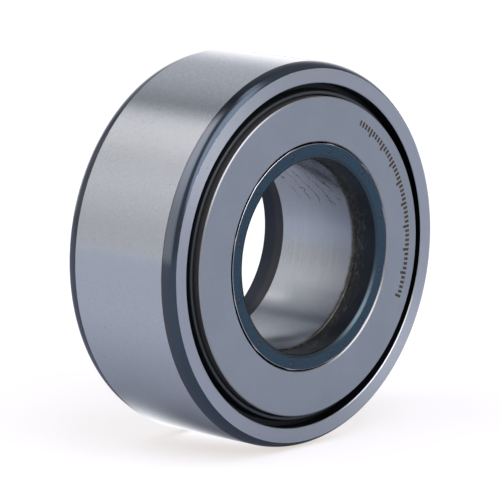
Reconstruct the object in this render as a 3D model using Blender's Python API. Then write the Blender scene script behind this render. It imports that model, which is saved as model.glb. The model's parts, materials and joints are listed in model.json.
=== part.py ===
"""Yoke-type track roller: a sealed needle roller bearing with a thick-walled outer ring.

The roller turns about the world Y axis, its centre is the origin and its front face looks along -Y.
Sections are drawn in millimetres as (y, radius) points and turned about Y into meshes in metres.
"""

import math

import bmesh
import bpy
from mathutils import Matrix

MM = 0.001

# Boundary dimensions, in millimetres like every length below
OUTER_DIAMETER = 80.0
BORE_DIAMETER = 40.0
OVERALL_WIDTH = 32.0
OUTER_RING_WIDTH = 30.0

# Rolling contact
INNER_RACEWAY_RADIUS = 25.0
NEEDLE_DIAMETER = 4.0
NEEDLE_LENGTH = 19.8
NEEDLE_COUNT = 28
RUNNING_CLEARANCE = 0.05
FIT_GAP = 0.05

# Outer ring: the tread blends into the side faces over a long, shallow edge
EDGE_LENGTH = 2.9
EDGE_DROP = 1.3
EDGE_STEPS = 3
RECESS_RADIUS = 35.65
RECESS_CHAMFER = 0.2
RECESS_DEPTH = 4.0
RACEWAY_CHAMFER = 0.3

# Inner ring: a ground bore between relieved ends, and a stepped seat for each side washer
GROUND_BORE_LENGTH = 20.4
BORE_RELIEF = 0.25
RELIEF_STEP = 0.2
BORE_MOUTH_RADIUS = 21.05
BORE_MOUTH_DEPTH = 0.4
SEAT_RADIUS = 23.5
SEAT_RIM_CHAMFER = 0.15
LUBRICATION_HOLE_DIAMETER = 3.0
STAKE_COUNT = 12
STAKE_CIRCLE_RADIUS = 22.3
STAKE_RADIUS = 0.65
STAKE_DEPTH = 0.35
STAKE_FIRST_ANGLE = math.radians(15.0)

# Side washers
WASHER_THICKNESS = 3.0
WASHER_RADIUS = 33.05
WASHER_BORE_CHAMFER = 0.4
WASHER_RIM_CHAMFER = 0.25

# Seal rings: a radial web behind the washer, a sliding lip and an outer lip round the washer's rim
SEAL_INNER_RADIUS = 29.8
SEAL_WEB_THICKNESS = 1.35
SEAL_LIP_WIDTH = 0.6
SEAL_LIP_GAP = 0.2
SEAL_RIDGE_INNER_RADIUS = 33.27
SEAL_RIDGE_OUTER_RADIUS = 34.13
SEAL_RIDGE_TOP = 14.45
SEAL_RIDGE_ROUNDING = 0.25

# Cage
CAGE_INNER_RADIUS = 25.6
CAGE_OUTER_RADIUS = 28.4
CAGE_WIDTH = 25.0
CAGE_EDGE_CHAMFER = 0.4
POCKET_SIDE_CLEARANCE = 0.12
POCKET_END_CLEARANCE = 0.1

RING_SEGMENTS = 72
CAGE_SEGMENTS = 3 * NEEDLE_COUNT
NEEDLE_SIDES = 12
NEEDLE_END_CHAMFER = 0.35
STAKE_SIDES = 8
HOLE_SIDES = 16
SMOOTH_UNDER = math.radians(35.0)

NEEDLE_RADIUS = NEEDLE_DIAMETER / 2.0
PITCH_RADIUS = INNER_RACEWAY_RADIUS + NEEDLE_RADIUS
OUTER_RACEWAY_RADIUS = INNER_RACEWAY_RADIUS + NEEDLE_DIAMETER
HALF_WIDTH = OVERALL_WIDTH / 2.0
HALF_RING = OUTER_RING_WIDTH / 2.0
SHOULDER = HALF_RING - RECESS_DEPTH
WASHER_BACK = HALF_WIDTH - WASHER_THICKNESS


def clear_scene():
    for obj in list(bpy.data.objects):
        bpy.data.objects.remove(obj, do_unlink=True)


def principled(name, color, roughness, metallic):
    material = bpy.data.materials.new(name)
    material.use_nodes = True
    shader = material.node_tree.nodes["Principled BSDF"]
    shader.inputs["Base Color"].default_value = (*color, 1.0)
    shader.inputs["Roughness"].default_value = roughness
    shader.inputs["Metallic"].default_value = metallic
    material.diffuse_color = (*color, 1.0)
    return material


def add_object(name, mesh, material=None, parent=None):
    obj = bpy.data.objects.new(name, mesh)
    bpy.context.scene.collection.objects.link(obj)
    if material and not mesh.materials:
        mesh.materials.append(material)
    obj.parent = parent
    return obj


def finished_mesh(name, bm):
    """Turns a bmesh into a mesh whose faces point out, smooth except at its real edges."""
    bmesh.ops.recalc_face_normals(bm, faces=bm.faces)
    mesh = bpy.data.meshes.new(name)
    bm.to_mesh(mesh)
    bm.free()
    mesh.shade_smooth()
    mesh.set_sharp_from_angle(angle=SMOOTH_UNDER)
    return mesh


def turned_mesh(name, section, segments=RING_SEGMENTS):
    """Revolves a closed loop of (y, radius) points about the Y axis."""
    bm = bmesh.new()
    loop = [bm.verts.new((radius * MM, y * MM, 0.0)) for y, radius in section]
    edges = [bm.edges.new((point, loop[i - 1])) for i, point in enumerate(loop)]
    bmesh.ops.spin(
        bm,
        geom=loop + edges,
        cent=(0.0, 0.0, 0.0),
        axis=(0.0, 1.0, 0.0),
        angle=math.tau,
        steps=segments,
        use_merge=True,
    )
    return finished_mesh(name, bm)


def both_halves(half):
    """Completes a section from its +Y half, which runs from the bore side to the outer side."""
    return half + [(-y, radius) for y, radius in reversed(half)]


def on_side(section, side):
    """Puts a section drawn at +Y on the front (side -1) or rear (side +1)."""
    return [(side * y, radius) for y, radius in section]


def cut(target, cutter):
    """Subtracts a cutter, which stays in the file as a hidden wireframe."""
    cutter.hide_render = True
    cutter.display_type = "WIRE"
    modifier = target.modifiers.new("cut_" + cutter.name, "BOOLEAN")
    modifier.operation = "DIFFERENCE"
    modifier.object = cutter


def make_outer_ring(material):
    tread_edge = []
    for step in range(EDGE_STEPS + 1):
        turn = 0.5 * math.pi * step / EDGE_STEPS
        y = HALF_RING - EDGE_LENGTH * (1.0 - math.cos(turn))
        radius = OUTER_DIAMETER / 2.0 - EDGE_DROP * (1.0 - math.sin(turn))
        tread_edge.append((y, radius))
    half = [
        (SHOULDER - RACEWAY_CHAMFER, OUTER_RACEWAY_RADIUS),
        (SHOULDER, OUTER_RACEWAY_RADIUS + RACEWAY_CHAMFER),
        (SHOULDER, RECESS_RADIUS),
        (HALF_RING - RECESS_CHAMFER, RECESS_RADIUS),
        (HALF_RING, RECESS_RADIUS + RECESS_CHAMFER),
    ]
    return add_object("outer_ring", turned_mesh("outer_ring", both_halves(half + tread_edge)), material)


def lubrication_hole_cutter():
    """A radial drill through the -X side of the inner ring's wall."""
    bm = bmesh.new()
    drill_radius = LUBRICATION_HOLE_DIAMETER / 2.0 * MM
    drill_length = BORE_DIAMETER / 2.0 * MM
    place = Matrix.Translation((-PITCH_RADIUS * MM, 0.0, 0.0)) @ Matrix.Rotation(math.pi / 2.0, 4, "Y")
    bmesh.ops.create_cone(
        bm,
        cap_ends=True,
        segments=HOLE_SIDES,
        radius1=drill_radius,
        radius2=drill_radius,
        depth=drill_length,
        matrix=place,
    )
    return add_object("lubrication_hole_cutter", finished_mesh("lubrication_hole_cutter", bm))


def staking_cutter():
    """A circle of punch points sunk into both end faces of the inner ring."""
    bm = bmesh.new()
    for side in (-1, 1):
        for index in range(STAKE_COUNT):
            angle = STAKE_FIRST_ANGLE + index * math.tau / STAKE_COUNT
            place = (
                Matrix.Rotation(-angle, 4, "Y")
                @ Matrix.Translation((STAKE_CIRCLE_RADIUS * MM, side * HALF_WIDTH * MM, 0.0))
                @ Matrix.Rotation(side * math.pi / 2.0, 4, "X")
            )
            bmesh.ops.create_cone(
                bm,
                cap_ends=True,
                segments=STAKE_SIDES,
                radius1=2.0 * STAKE_RADIUS * MM,
                radius2=0.0,
                depth=2.0 * STAKE_DEPTH * MM,
                matrix=place,
            )
    return add_object("staking_cutter", finished_mesh("staking_cutter", bm))


def make_inner_ring(material):
    bore_radius = BORE_DIAMETER / 2.0
    ground_end = GROUND_BORE_LENGTH / 2.0
    seat_shoulder = WASHER_BACK - FIT_GAP
    half = [
        (ground_end - RELIEF_STEP, bore_radius),
        (ground_end, bore_radius + BORE_RELIEF),
        (HALF_WIDTH - BORE_MOUTH_DEPTH, bore_radius + BORE_RELIEF),
        (HALF_WIDTH, BORE_MOUTH_RADIUS),
        (HALF_WIDTH, SEAT_RADIUS - SEAT_RIM_CHAMFER),
        (HALF_WIDTH - SEAT_RIM_CHAMFER, SEAT_RADIUS),
        (seat_shoulder, SEAT_RADIUS),
        (seat_shoulder, INNER_RACEWAY_RADIUS - RACEWAY_CHAMFER),
        (seat_shoulder - RACEWAY_CHAMFER, INNER_RACEWAY_RADIUS),
    ]
    ring = add_object("inner_ring", turned_mesh("inner_ring", both_halves(half)), material)
    cut(ring, lubrication_hole_cutter())
    cut(ring, staking_cutter())
    return ring


def make_side_washer(name, side, material):
    bore_radius = SEAT_RADIUS + FIT_GAP
    section = [
        (WASHER_BACK, bore_radius),
        (HALF_WIDTH - WASHER_BORE_CHAMFER, bore_radius),
        (HALF_WIDTH, bore_radius + WASHER_BORE_CHAMFER),
        (HALF_WIDTH, WASHER_RADIUS - WASHER_RIM_CHAMFER),
        (HALF_WIDTH - WASHER_RIM_CHAMFER, WASHER_RADIUS),
        (WASHER_BACK + WASHER_RIM_CHAMFER, WASHER_RADIUS),
        (WASHER_BACK, WASHER_RADIUS - WASHER_RIM_CHAMFER),
    ]
    return add_object(name, turned_mesh(name, on_side(section, side)), material)


def make_seal_ring(name, side, material):
    back = SHOULDER + FIT_GAP
    web_front = back + SEAL_WEB_THICKNESS
    lip_top = WASHER_BACK - SEAL_LIP_GAP
    ridge_shoulder = SEAL_RIDGE_TOP - SEAL_RIDGE_ROUNDING
    section = [
        (back, SEAL_INNER_RADIUS),
        (lip_top, SEAL_INNER_RADIUS),
        (lip_top, SEAL_INNER_RADIUS + SEAL_LIP_WIDTH),
        (web_front, SEAL_INNER_RADIUS + 2.0 * SEAL_LIP_WIDTH),
        (web_front, SEAL_RIDGE_INNER_RADIUS),
        (ridge_shoulder, SEAL_RIDGE_INNER_RADIUS),
        (SEAL_RIDGE_TOP, SEAL_RIDGE_INNER_RADIUS + SEAL_RIDGE_ROUNDING),
        (SEAL_RIDGE_TOP, SEAL_RIDGE_OUTER_RADIUS - SEAL_RIDGE_ROUNDING),
        (ridge_shoulder, SEAL_RIDGE_OUTER_RADIUS),
        (web_front, SEAL_RIDGE_OUTER_RADIUS),
        (web_front, RECESS_RADIUS - FIT_GAP),
        (back, RECESS_RADIUS - FIT_GAP),
    ]
    return add_object(name, turned_mesh(name, on_side(section, side)), material)


def needle_angle(index):
    return index * math.tau / NEEDLE_COUNT


def pocket_cutter():
    """One box for each needle, a little wider and longer than the needle."""
    bm = bmesh.new()
    across = NEEDLE_DIAMETER + 2.0 * POCKET_SIDE_CLEARANCE
    along = NEEDLE_LENGTH + 2.0 * POCKET_END_CLEARANCE
    through = 2.0 * NEEDLE_DIAMETER
    for index in range(NEEDLE_COUNT):
        turn = Matrix.Rotation(-needle_angle(index), 4, "Y")
        place = Matrix.Translation((PITCH_RADIUS * MM, 0.0, 0.0))
        size = Matrix.Diagonal((through * MM, along * MM, across * MM, 1.0))
        bmesh.ops.create_cube(bm, size=1.0, matrix=turn @ place @ size)
    return add_object("pocket_cutter", finished_mesh("pocket_cutter", bm))


def make_cage(material):
    half = [
        (CAGE_WIDTH / 2.0, CAGE_INNER_RADIUS),
        (CAGE_WIDTH / 2.0, CAGE_OUTER_RADIUS - CAGE_EDGE_CHAMFER),
        (CAGE_WIDTH / 2.0 - CAGE_EDGE_CHAMFER, CAGE_OUTER_RADIUS),
    ]
    cage = add_object("needle_cage", turned_mesh("needle_cage", both_halves(half), CAGE_SEGMENTS), material)
    cut(cage, pocket_cutter())
    return cage


def needle_mesh(material):
    """A roller lying along Y with chamfered ends, shared by every needle."""
    bm = bmesh.new()
    solid_radius = (NEEDLE_RADIUS - RUNNING_CLEARANCE) * MM
    bmesh.ops.create_cone(
        bm,
        cap_ends=True,
        segments=NEEDLE_SIDES,
        radius1=solid_radius,
        radius2=solid_radius,
        depth=NEEDLE_LENGTH * MM,
        matrix=Matrix.Rotation(math.pi / 2.0, 4, "X"),
    )
    end_faces = [face for face in bm.faces if len(face.verts) == NEEDLE_SIDES]
    rims = [edge for face in end_faces for edge in face.edges]
    bmesh.ops.bevel(bm, geom=rims, offset=NEEDLE_END_CHAMFER * MM, segments=1, affect="EDGES")
    mesh = finished_mesh("needle", bm)
    mesh.materials.append(material)
    return mesh


def make_needles(cage, material):
    """Every needle is its own object, centred on its own axis on the pitch circle."""
    mesh = needle_mesh(material)
    for index in range(NEEDLE_COUNT):
        angle = needle_angle(index)
        needle = add_object(f"needle_{index + 1:02d}", mesh, parent=cage)
        needle.location = (PITCH_RADIUS * MM * math.cos(angle), 0.0, PITCH_RADIUS * MM * math.sin(angle))
        needle.rotation_euler = (0.0, -angle, 0.0)


def main():
    clear_scene()
    bearing_steel = principled("bearing_steel", (0.62, 0.64, 0.67), 0.3, 1.0)
    blued_steel = principled("blued_steel", (0.12, 0.18, 0.23), 0.35, 1.0)
    washer_steel = principled("washer_steel", (0.47, 0.49, 0.55), 0.4, 1.0)
    seal_plastic = principled("seal_plastic", (0.02, 0.022, 0.024), 0.45, 0.0)
    cage_plastic = principled("cage_plastic", (0.06, 0.06, 0.055), 0.5, 0.0)
    needle_steel = principled("needle_steel", (0.7, 0.71, 0.72), 0.15, 1.0)

    make_outer_ring(bearing_steel)
    make_inner_ring(blued_steel)
    for end, side in (("front", -1), ("rear", 1)):
        make_side_washer("side_washer_" + end, side, washer_steel)
        make_seal_ring("seal_ring_" + end, side, seal_plastic)
    cage = make_cage(cage_plastic)
    make_needles(cage, needle_steel)


main()
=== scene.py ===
"""Looks of the sealed yoke-type track roller: ground steel, oxide skins, black seals and a pale studio.

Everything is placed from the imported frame. Sections are (y, radius) in millimetres, turned about the Y axis.
"""
import json
import math

import bpy
import numpy as np
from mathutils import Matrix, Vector


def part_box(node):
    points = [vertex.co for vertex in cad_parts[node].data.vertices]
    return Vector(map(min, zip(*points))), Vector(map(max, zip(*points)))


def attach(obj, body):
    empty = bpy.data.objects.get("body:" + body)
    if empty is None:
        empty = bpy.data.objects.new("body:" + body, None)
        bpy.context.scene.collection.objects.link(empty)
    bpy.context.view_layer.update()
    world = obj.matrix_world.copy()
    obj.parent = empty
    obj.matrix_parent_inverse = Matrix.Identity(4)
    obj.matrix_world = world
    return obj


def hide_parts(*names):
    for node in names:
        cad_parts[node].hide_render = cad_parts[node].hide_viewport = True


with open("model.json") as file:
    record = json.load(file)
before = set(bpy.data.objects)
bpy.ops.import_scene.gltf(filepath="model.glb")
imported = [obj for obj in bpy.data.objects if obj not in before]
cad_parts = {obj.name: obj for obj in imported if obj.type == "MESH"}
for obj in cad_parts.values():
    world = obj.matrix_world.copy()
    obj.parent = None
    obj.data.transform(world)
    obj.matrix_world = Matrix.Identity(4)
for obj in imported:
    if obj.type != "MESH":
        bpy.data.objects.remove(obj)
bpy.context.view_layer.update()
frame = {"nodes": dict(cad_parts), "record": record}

MM = 0.001


# ---------------------------------------------------------------- sizes, in millimetres


def half_size(node):
    """Half of a node's box, in millimetres."""
    low, high = (Vector(corner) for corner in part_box(node))
    return (high - low) / 2.0 / MM


def centre(node):
    """The middle of a node's box, in metres."""
    low, high = (Vector(corner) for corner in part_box(node))
    return (low + high) / 2.0


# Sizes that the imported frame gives
OUTER_RADIUS = half_size("outer_ring").x
HALF_RING = half_size("outer_ring").y
HALF_WIDTH = half_size("inner_ring").y
INNER_RACEWAY = half_size("inner_ring").x
WASHER_RADIUS = half_size("side_washer_front").x
WASHER_BACK = HALF_WIDTH - 2.0 * half_size("side_washer_front").y
SEAL_RADIUS = half_size("seal_ring_front").x
SEAL_DEPTH = 2.0 * half_size("seal_ring_front").y
HALF_NEEDLE = half_size("needle_01").y
NEEDLE_RADIUS = half_size("needle_01").x
PITCH_RADIUS = centre("needle_01").x / MM
BORE_RADIUS = next(m for m in frame["record"]["mounts"] if m["name"] == "shaft_seat")["dims"]["r_mm"]
NEEDLES = sorted(name for name in frame["nodes"] if name.startswith("needle_") and name[-1].isdigit())

# FIT_GAP keeps pieces that touch in reality just apart
FIT_GAP = 0.05

# Outer ring
OUTER_RACEWAY = PITCH_RADIUS + NEEDLE_RADIUS + FIT_GAP
RACEWAY_CHAMFER = 0.3
RECESS_RADIUS = SEAL_RADIUS + FIT_GAP
RECESS_DEPTH = 4.0
RECESS_CHAMFER = 0.2
FACE_INNER_RADIUS = RECESS_RADIUS + RECESS_CHAMFER
EDGE_LENGTH = 2.9
EDGE_DROP = 1.3

# Side washers
SEAT_RADIUS = 23.5
WASHER_BORE_CHAMFER = 0.38
WASHER_FRONT_CHAMFER = 0.22
WASHER_BACK_CHAMFER = 0.25

# Seal rings
SEAL_INNER = 29.8
SEAL_LIP_OUTER = 30.4
SEAL_WEB_INNER = 31.0
SEAL_WEB = 1.35
SEAL_LIP_GAP = 0.2
SEAL_RIDGE_INNER = WASHER_RADIUS + 0.22
SEAL_RIDGE_OUTER = WASHER_RADIUS + 1.04
SEAL_RIDGE_FOOT = 0.25

# Inner ring: ground bore, relieved ends, a rim turned down at each end, and a radial oil hole
GROUND_END = 10.2
RELIEF_RADIUS = BORE_RADIUS + 0.25
MOUTH_RADIUS = 21.05
MOUTH_DEPTH = 0.4
RIM_RADIUS = SEAT_RADIUS - 0.12
RIM_CHAMFER = 0.08
RIM_LENGTH = 0.5
RIM_SLOPE_END = 0.7
OIL_HOLE_RADIUS = 1.5

# The drill's section starts this far off its axis
DRILL_CENTRE = 0.001

# Punch marks of the staking, on a circle. LIP_PLACE and LIP_SPREAD are shares of a mark's radius
STAKE_COUNT = 12
STAKE_CIRCLE = 22.3
STAKE_PHASE = math.radians(15.0)
STAKE_RADIUS = 0.68
STAKE_DEPTH = 0.09
STAKE_LIP = 0.012
LIP_PLACE = 1.15
LIP_SPREAD = 0.18
RING_END = HALF_WIDTH - STAKE_LIP
STAKE_BULGE = 0.14
STAKE_BULGE_REACH = math.radians(3.4)
BULGE_LENGTH = 0.3
BULGE_INNER = SEAT_RADIUS - 0.4
BULGE_BLEND = 0.25

# Needles. A turned section can't touch its axis, so it starts a hair's breadth off it
NEEDLE_ROUNDING = 0.45
NEEDLE_ARC_STEPS = 6
NEEDLE_CENTRE = 0.02

# How finely shapes are divided. The inner ring's section is cut into steps of FACE_STEP where it lies within
# FACE_REACH of the ring's ends, and its points within FLAT_REACH of them take the punch marks. Corners
# within STRAIGHT of flat get no fillet
RING_SEGMENTS = 288
STAKED_SEGMENTS = 720
HOLE_SEGMENTS = 48
NEEDLE_SEGMENTS = 32
FACE_STEP = 0.12
FACE_REACH = 0.01
FLAT_REACH = 0.002
ARC_STEP = math.radians(15.0)
STRAIGHT = math.radians(2.0)
SHARP_ANGLE = math.radians(40.0)


# ---------------------------------------------------------------- view and studio

# Azimuth and elevation of the camera, its distance in metres, and how far the roller sits off its axis
CAMERA_AZIMUTH = math.radians(-47.04)
CAMERA_ELEVATION = math.radians(11.03)
CAMERA_DISTANCE = 0.846
CAMERA_LENS = 293.8
CAMERA_NEAR = 0.05
OFFSET_RIGHT = 0.00077
OFFSET_UP = 0.00065

# A wall tone is (degrees about the roller's axis, brightness, how cool it is from 0 to 1). 0 degrees is
# right, 90 above and 180 left
REAR_WALL = (
    (0, 1.8, 0.0), (12, 1.7, 0.0), (20, 1.3, 0.1), (28, 0.86, 0.4), (36, 0.61, 0.5), (44, 0.59, 0.5),
    (52, 0.60, 0.5), (60, 0.53, 0.6), (76, 0.40, 0.8), (84, 0.20, 1.0), (90, 0.37, 0.7), (98, 0.65, 0.1),
    (108, 0.61, 0.1), (115, 0.54, 0.2), (123, 0.41, 0.3), (140, 0.56, 0.3), (154, 0.53, 0.3),
    (166, 0.44, 0.4), (190, 0.45, 0.4), (340, 0.44, 0.4), (360, 1.8, 0.0),
)
WALL_TINT = (0.97, 0.985, 1.06)
SOFTBOX_TINT = (0.975, 0.98, 0.995)
COOL_TINT = (0.89, 0.995, 1.15)
NEUTRAL_TINT = (1.0, 0.985, 1.03)

# Places on the walls are directions of length 1 from the roller, and angles are in degrees. A pair says
# where a light or tone begins and where it is full
FRONT_WALL = 0.36
REAR_BEGINS = (0.05, 0.25)
REAR_DIM = 0.5
REAR_DIM_BORDER = (0.66, 0.5)

LEFT_SOFTBOX_LOW = 1.4
LEFT_SOFTBOX_HIGH = 3.0
LEFT_SOFTBOX_RISE = (0.3, 1.0)
LEFT_SOFTBOX_SLANT = 0.5
LEFT_SOFTBOX_FRONT = (0.23, 0.33)
LEFT_SOFTBOX_REAR = (0.62, 0.42)
LEFT_SOFTBOX_TURN = (92.0 / 360.0, 104.0 / 360.0)
LEFT_SOFTBOX_RIGHT = (0.0, -0.12)

FRONT_SOFTBOX = 2.1
FRONT_SOFTBOX_AIM = (0.1, -0.7, 0.7)
FRONT_SOFTBOX_ANGLES = (42.5, 37.5)
FRONT_SOFTBOX_RIGHT = (0.42, 0.24)
FRONT_LAMP = 4.2
FRONT_LAMP_AIM = (0.16, -0.91, 0.37)
FRONT_LAMP_ANGLES = (13.0, 7.0)
TOP_LAMP = 1.7
TOP_LAMP_AIM = (0.21, 0.08, 0.97)
TOP_LAMP_ANGLES = (9.0, 5.5)

# The floor, in metres, and the glow on it, in millimetres
FLOOR_SIZE = 4.0
FLOOR_GAP = 0.0001
FLOOR_GREY = (0.41, 0.44, 0.51)
FLOOR_LIFT = (0.66, 0.61, 0.56)
FLOOR_GLOW = 1.55
GLOW_SLANT = 0.4
GLOW_LEFT = (-17.0, -2.0)
GLOW_RIGHT = (30.0, 15.0)
GLOW_FRONT_REAR_SOFT = (-9.0, 24.0, 5.0)
FLOOR_FAR_GLOW = 0.07
FAR_GLOW_REACH = (-36.0, -80.0)


# ---------------------------------------------------------------- sections and meshes


def rounded(corners):
    """Replaces each (y, radius, fillet) corner of a closed section by an arc of that fillet."""
    points = []
    for i, (y, r, fillet) in enumerate(corners):
        corner = np.array((y, r))
        before = np.array(corners[i - 1][:2]) - corner
        after = np.array(corners[(i + 1) % len(corners)][:2]) - corner
        reach = min(np.linalg.norm(before), np.linalg.norm(after))
        if not fillet or reach == 0.0:
            points.append(tuple(corner))
            continue
        before /= np.linalg.norm(before)
        after /= np.linalg.norm(after)
        inside = math.acos(max(-1.0, min(1.0, float(before @ after))))
        if math.pi - inside < STRAIGHT:
            points.append(tuple(corner))
            continue
        tangent = min(fillet / math.tan(inside / 2.0), 0.48 * reach)
        radius = tangent * math.tan(inside / 2.0)
        bisector = (before + after) / np.linalg.norm(before + after)
        middle = corner + bisector * radius / math.sin(inside / 2.0)
        start = corner + before * tangent - middle
        end = corner + after * tangent - middle
        turn = math.pi - inside
        steps = max(2, math.ceil(turn / ARC_STEP))
        for step in range(steps + 1):
            share = step / steps
            arm = (start * math.sin((1.0 - share) * turn) + end * math.sin(share * turn)) / math.sin(turn)
            points.append(tuple(middle + arm))
    return points


def both_halves(half):
    """Completes a section from its +Y half, drawn from the bore side to the outer side."""
    return half + [(-corner[0], *corner[1:]) for corner in reversed(half)]


def on_side(section, side):
    """A section mirrored to the front (-1) or left at the rear (1)."""
    return [(side * corner[0], *corner[1:]) for corner in section]


def turned(section, segments):
    """Vertices (segments x points x 3, millimetres) and quads of a section turned about Y."""
    section = np.array(section)
    following = np.roll(section, -1, axis=0)
    area = np.sum(section[:, 0] * following[:, 1] - following[:, 0] * section[:, 1])
    if area > 0.0:
        section = section[::-1]
    angle = np.arange(segments) * math.tau / segments
    count = len(section)
    grid = np.empty((segments, count, 3))
    grid[:, :, 0] = np.cos(angle)[:, None] * section[None, :, 1]
    grid[:, :, 1] = section[None, :, 0]
    grid[:, :, 2] = np.sin(angle)[:, None] * section[None, :, 1]
    s, p = np.meshgrid(np.arange(segments), np.arange(count), indexing="ij")
    s_next, p_next = (s + 1) % segments, (p + 1) % count
    here, there = s * count, s_next * count
    quads = np.stack((here + p, here + p_next, there + p_next, there + p), axis=-1)
    return grid, quads.reshape(-1, 4)


def add_area_normals(obj):
    """Smooth shading that leaves the large faces flat."""
    weighted = obj.modifiers.new("area_normals", "WEIGHTED_NORMAL")
    weighted.mode = "FACE_AREA"
    weighted.weight = 50
    weighted.keep_sharp = True


def mesh_object(name, points, faces, material):
    mesh = bpy.data.meshes.new(name)
    mesh.from_pydata((np.asarray(points).reshape(-1, 3) * MM).tolist(), [], np.asarray(faces).tolist())
    mesh.materials.append(material)
    mesh.shade_smooth()
    obj = bpy.data.objects.new(name, mesh)
    bpy.context.scene.collection.objects.link(obj)
    add_area_normals(obj)
    return obj


def stands_for(piece, body, node):
    """The piece rides on a body, and is seen instead of a CAD node."""
    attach(piece, body)
    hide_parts(node)


def turned_object(name, section, material):
    return mesh_object(name, *turned(section, RING_SEGMENTS), material)


# ---------------------------------------------------------------- shader helpers

# The tangent runs round the axis, and the anisotropic lobe is turned across it, in turns
QUARTER_TURN = 0.25

# Where a colour ramp's new stop lies until it gets its own place
NEW_STOP = 0.5


class Nodes:
    """Short calls that add and link nodes in one node tree."""

    def __init__(self, tree):
        self.tree = tree

    def plug(self, socket, value):
        if isinstance(value, bpy.types.NodeSocket):
            self.tree.links.new(value, socket)
        else:
            socket.default_value = value

    def add(self, kind, inputs, output=0, **settings):
        node = self.tree.nodes.new(kind)
        for key, value in settings.items():
            setattr(node, key, value)
        for key, value in inputs.items():
            self.plug(node.inputs[key], value)
        return node.outputs[output]

    def math(self, operation, *values):
        return self.add("ShaderNodeMath", dict(enumerate(values)), operation=operation)

    def plus(self, a, b):
        return self.math("ADD", a, b)

    def minus(self, a, b):
        return self.math("SUBTRACT", a, b)

    def times(self, a, b):
        return self.math("MULTIPLY", a, b)

    def over(self, a, b):
        return self.math("DIVIDE", a, b)

    def object_place(self):
        """The object's own coordinates, in millimetres."""
        place = self.add("ShaderNodeTexCoord", {}, output="Object")
        return self.add("ShaderNodeVectorMath", {0: place, 1: (1.0 / MM,) * 3}, operation="MULTIPLY")

    def distance(self, a, b):
        return self.add("ShaderNodeVectorMath", {0: a, 1: b}, output=1, operation="DISTANCE")

    def step(self, value, low, high):
        """0 below low and 1 above high, or the other way round if low is the larger."""
        inputs = {"Value": value, "From Min": low, "From Max": high, "To Min": 0.0, "To Max": 1.0}
        return self.add("ShaderNodeMapRange", inputs, interpolation_type="SMOOTHSTEP")

    def between(self, value, low, high, soft):
        """1 between low and high, with soft edges."""
        rise = self.step(value, low - soft, low + soft)
        fall = self.step(value, high + soft, high - soft)
        return self.times(rise, fall)

    def mix(self, factor, a, b):
        """Colour a where the factor is 0 and b where it is 1. The node's colours are sockets 6, 7 and 2."""
        return self.add("ShaderNodeMix", {0: factor, 6: a, 7: b}, output=2, data_type="RGBA")

    def blend(self, factor, a, b):
        """Number a where the factor is 0 and b where it is 1. The node's numbers are sockets 2, 3 and 0."""
        return self.add("ShaderNodeMix", {0: factor, 2: a, 3: b}, output=0, data_type="FLOAT")

    def vector(self, x, y, z):
        return self.add("ShaderNodeCombineXYZ", {0: x, 1: y, 2: z})

    def split(self, vector):
        node = self.tree.nodes.new("ShaderNodeSeparateXYZ")
        self.plug(node.inputs[0], vector)
        return node.outputs[0], node.outputs[1], node.outputs[2]

    def noise(self, vector, scale, detail=3.0, roughness=0.55):
        inputs = {"Vector": vector, "Scale": scale, "Detail": detail, "Roughness": roughness}
        return self.add("ShaderNodeTexNoise", inputs)

    def ramp(self, value, stops):
        """A colour ramp from (position, (r, g, b)) stops."""
        node = self.tree.nodes.new("ShaderNodeValToRGB")
        elements = node.color_ramp.elements
        while len(elements) < len(stops):
            elements.new(NEW_STOP)
        for element, (position, color) in zip(elements, stops):
            element.position = position
            element.color = (*color, 1.0)
        self.plug(node.inputs[0], value)
        return node.outputs[0]


def grey(level, tint=(1.0, 1.0, 1.0)):
    """A colour of one brightness, slightly tinted."""
    return tuple(level * channel for channel in tint)


def rgba(color):
    return (*color, 1.0)


class Surface(Nodes):
    """A material's nodes, with the piece's own coordinates in millimetres and about its axis."""

    def __init__(self, name):
        self.material = bpy.data.materials.new(name)
        self.material.use_nodes = True
        super().__init__(self.material.node_tree)
        self.shader = self.tree.nodes["Principled BSDF"]
        self.place = self.object_place()
        self.x, self.y, self.z = self.split(self.place)
        self.radius = self.math("SQRT", self.plus(self.square(self.x), self.square(self.z)))
        self.angle = self.math("ARCTAN2", self.z, self.x)
        self.depth = self.math("ABSOLUTE", self.y)

    def square(self, value):
        return self.times(value, value)

    def round_lines(self, across, along):
        """Coordinates whose noise runs in circles about the axis, closely spaced along the section."""
        spread = self.times(self.plus(self.radius, self.y), across)
        return self.vector(self.times(self.x, along), spread, self.times(self.z, along))

    def finish(self, color, roughness, metallic=1.0, bump=None, bump_height=0.0, aniso=0.0):
        for key, value in (("Base Color", color), ("Roughness", roughness), ("Metallic", metallic)):
            self.plug(self.shader.inputs[key], value)
        if isinstance(aniso, bpy.types.NodeSocket) or aniso > 0.0:
            self.plug(self.shader.inputs["Anisotropic"], aniso)
            self.plug(self.shader.inputs["Anisotropic Rotation"], QUARTER_TURN)
            tangent = self.add("ShaderNodeTangent", {}, direction_type="RADIAL", axis="Y")
            self.plug(self.shader.inputs["Tangent"], tangent)
        if bump is not None:
            inputs = {"Height": bump, "Distance": bump_height * MM, "Strength": 1.0}
            self.plug(self.shader.inputs["Normal"], self.add("ShaderNodeBump", inputs))
        return self.material


# ---------------------------------------------------------------- materials

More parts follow.
